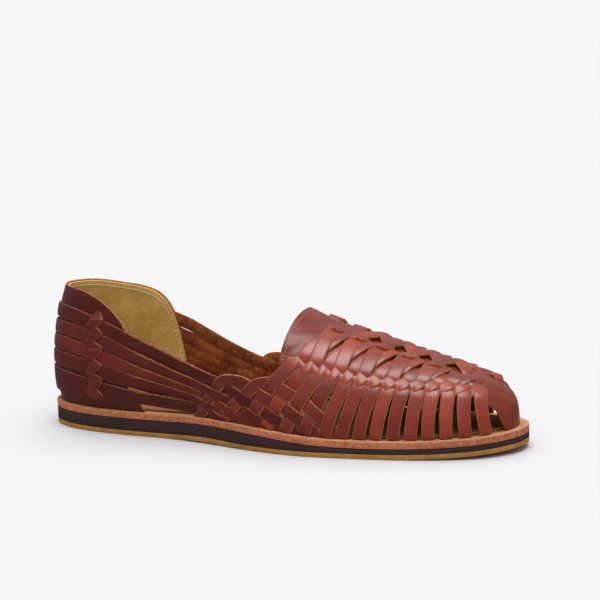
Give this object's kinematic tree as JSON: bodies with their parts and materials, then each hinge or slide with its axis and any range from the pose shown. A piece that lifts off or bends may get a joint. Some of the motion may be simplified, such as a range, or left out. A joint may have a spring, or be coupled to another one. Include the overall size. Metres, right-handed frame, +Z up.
{
  "type": "huarache sandal",
  "caption": "Low woven leather sandal: strip vamp on a smooth apron and toe cap, straps round a lined heel counter, layered flat sole. Right foot.",
  "frame": {"origin": "centre of the bounding box in plan, on the ground plane under the sole", "axes": "+X from heel to toe, +Y to the medial side, +Z up"},
  "size_m": [0.289, 0.0974, 0.0821],
  "materials": {
    "outsole": "honey crepe-like rubber, matt",
    "midsole": "dark brown foam, matt",
    "welt": "natural leather board, raw edge",
    "insole": "natural leather, matt",
    "upper": "glossy oiled red-brown leather with tan cut edges",
    "lining": "khaki lining leather, matt"
  },
  "bodies": {
    "root": {"outsole": "outsole", "midsole": "midsole", "welt": "welt", "insole": "insole", "upper": "upper", "counter_lining": "lining"}
  },
  "joints": []
}
